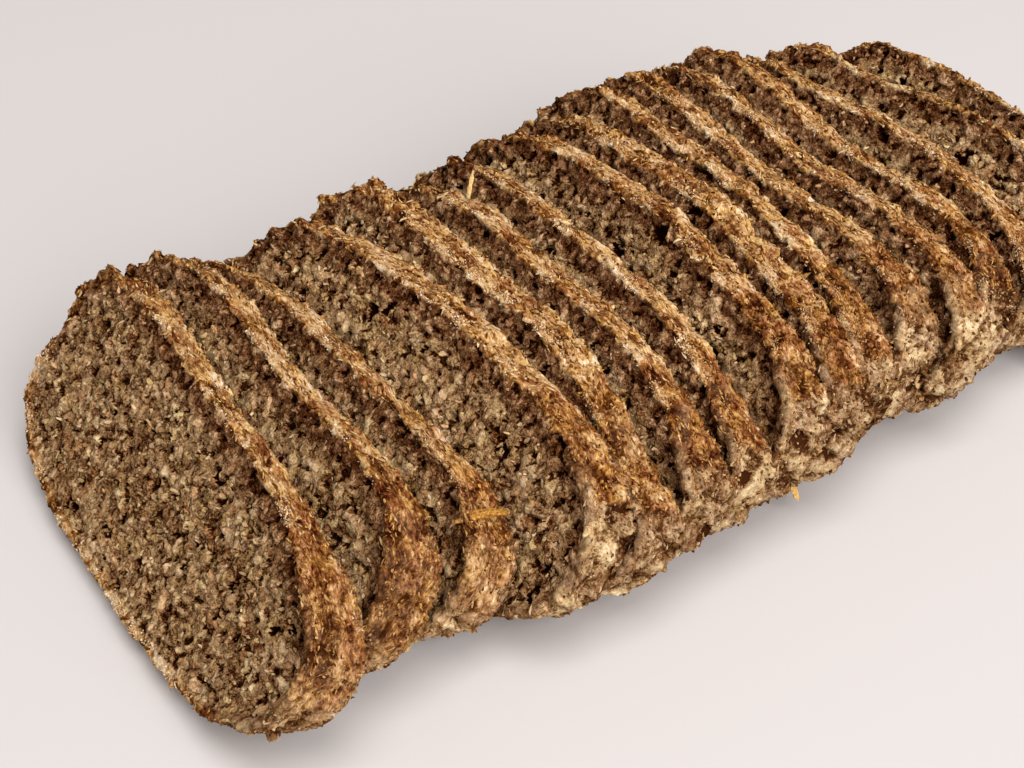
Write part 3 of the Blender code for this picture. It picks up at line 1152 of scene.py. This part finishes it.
def grainMaterial():
    material, shader, board = newMaterial("oatGrain", surface)
    place = board.add("ShaderNodeTexCoord", None, None, "Object")
    baked, tint, hue = (carried(board, name) for name in ("baked", "tint", "hue"))
    wide = board.noise(carried(board, "rest", "Vector"), texture["wide"], detail=1.0) - 0.5
    fine = board.noise(place, texture["fine"], roughness=0.7) - 0.5
    middle = board.noise(place, texture["grainMiddle"], detail=1.0) - 0.5
    light = weighed(grainLight, tint=tint - 0.5, fine=fine, middle=middle, wide=wide)
    straw, rust = (board.step(hue, *patches[name]) for name in ("grainStraw", "grainRust"))
    colour = tinted(board, light, grainColours)
    colour = board.blend(straw, colour, tinted(board, light, strawColours))
    colour = board.blend(rust, colour, tinted(board, light, rustColours))
    colour = board.blend(baked, colour, tinted(board, light, bakedColours))
    finish(board, shader, colour, fine, bumps["grain"])
    return material


looseLights = {
    "bran": {"colours": fibreColours, "base": 0.34, "tint": 0.8, "fine": 1.1, "size": 0.5 * mm},
    "bakedCrumb": {"colours": fibreColours, "base": 0.29, "tint": 0.9, "fine": 1.1, "size": 0.5 * mm},
    "flour": {"colours": flourColours, "base": 0.42, "tint": 0.7, "fine": 0.9, "size": 0.5 * mm},
    "rolledOat": {"colours": flakeColours, "base": 0.36, "tint": 0.6, "fine": 1.3, "size": 0.7 * mm},
}
looseChanges = {
    "evenerRight": 0.4,
    "darkerRight": 0.1,
    "flour": 0.25,
    "goldenHue": (0.6, 0.75),
    "end": 0.75,
    "lighterEnd": 0.12,
}


def looseMaterial(name):
    given, change = looseLights[name], looseChanges
    material, shader, board = newMaterial(name, surface)
    place = board.add("ShaderNodeTexCoord", None, None, "Object")
    fine = board.noise(place, given["size"], roughness=0.7) - 0.5
    flour = flourOn(board, carried(board, "rest", "Vector"))
    right = carried(board, "right")
    tint = (carried(board, "tint") - 0.5) * given["tint"] * (1 - right * change["evenerRight"])
    light = given["base"] + tint + fine * given["fine"]
    light = light + flour * change["flour"] - right * change["darkerRight"]
    golden = board.step(carried(board, "hue"), *change["goldenHue"]) * (1 - flour)
    colour = board.blend(golden, tinted(board, light, given["colours"]), tinted(board, light, goldenColours))
    paler = tinted(board, light + change["lighterEnd"], endColours)
    colour = board.blend(carried(board, "end") * change["end"], colour, paler)
    finish(board, shader, colour, fine, bumps["loose"])
    return material


# The photo's camera and a quiet studio, in metres, degrees and watts, with the lens in mm
view = {
    "place": (-0.16127, -0.2414, 0.2498),
    "pitch": 49.1,
    "heading": -28.16,
    "lens": 55.55,
    "sensor": 36,
}
studio = {
    "floorSize": 3.0,
    "floor": {"Base Color": (0.525, 0.486, 0.472, 1), "Roughness": 0.6},
    "world": {"Color": (1.0, 0.98, 0.97, 1), "Strength": 0.31},
    "lights": {
        "windowLight": {"place": (0.0, -0.4, 2.4), "size": 1.6, "power": 45.5},
        "fillLight": {"place": (0.3, -1.9, 1.3), "size": 2.0, "power": 74.5},
    },
}


def makeCamera():
    data = bpy.data.cameras.new("camera")
    data.sensor_width = view["sensor"]
    data.lens = view["lens"]
    camera = show("camera", data)
    camera.location = view["place"]
    camera.rotation_euler = (math.radians(view["pitch"]), 0, math.radians(view["heading"]))
    bpy.context.scene.camera = camera


def makeLight(name, place, size, power):  # an area light that looks at the origin
    data = bpy.data.lights.new(name, "AREA")
    data.size = size
    data.energy = power
    light = show(name, data)
    light.location = place
    light.rotation_euler = (-Vector(place)).to_track_quat("-Z", "Y").to_euler()


def makeStudio():
    mesh = bmesh.new()
    bmesh.ops.create_grid(mesh, x_segments=1, y_segments=1, size=studio["floorSize"])
    floor = show("floor", settled("floor", mesh))
    floor.data.materials.append(newMaterial("paleFloor", studio["floor"])[0])
    world = bpy.data.worlds.new("studio")
    world.use_nodes = True
    setInputs(world.node_tree.nodes["Background"], studio["world"])
    bpy.context.scene.world = world
    for name, light in studio["lights"].items():
        makeLight(name, **light)
    bpy.context.scene.view_settings.view_transform = "Standard"


def triangles(thing):
    return sum(len(face.vertices) - 2 for face in thing.data.polygons)


def main():
    makeCamera()
    makeStudio()
    material = sliceMaterial()
    tree = reliefTree(relief["sizes"])
    slices = bpy.data.collections.new("breadSlices")
    total = 0
    for number in range(sliceCount):
        one = makeSlice(number, tree, material, slices)
        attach(one, "root")
        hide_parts(f"slice_{number + 1:02d}")
        total += triangles(one)
    print("slices made,", total, "triangles")

    lumps = shapeSet("lumps", [crumbShape] * 6)
    chips = shapeSet("chips", [crumbShape] * 3 + [chipShape] * 7)
    slivers = shapeSet("slivers", [fibreShape] * 5)
    ovals = shapeSet("ovals", [flakeShape] * 5)
    every = ((0, sliceCount - 1),)
    kinds = {
        "crumbGrains": (grains, chips, grainMaterial(), grainChance, ((0, 1), (2, 6), (7, 15))),
        "crustFibres": (fibres, slivers, looseMaterial("bran"), fibreChance, ((0, 7), (8, 15))),
        "edgeCrumbs": (edgeCrumbs, lumps, looseMaterial("bakedCrumb"), edgeChance, every),
        "flourCrumbs": (flourCrumbs, lumps, looseMaterial("flour"), flourChance, every),
        "oatFlakes": (oatFlakes, ovals, looseMaterial("rolledOat"), flakeChance, every),
    }
    for name, (values, shapes, material, chance, spans) in kinds.items():
        tree = scatterTree(name, values, shapes, material, chance)
        for first, last in spans:  # one piece for each span of slices
            given = dict(values, First=float(first), Last=float(last))
            one = scatter(f"{name}_{first + 1:02d}", tree, given)
            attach(one, "root")
            print(one.name, triangles(one), "triangles")
    one = makeHusks(bpy.data.materials["bran"])
    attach(one, "root")
    print(one.name, triangles(one), "triangles")


main()
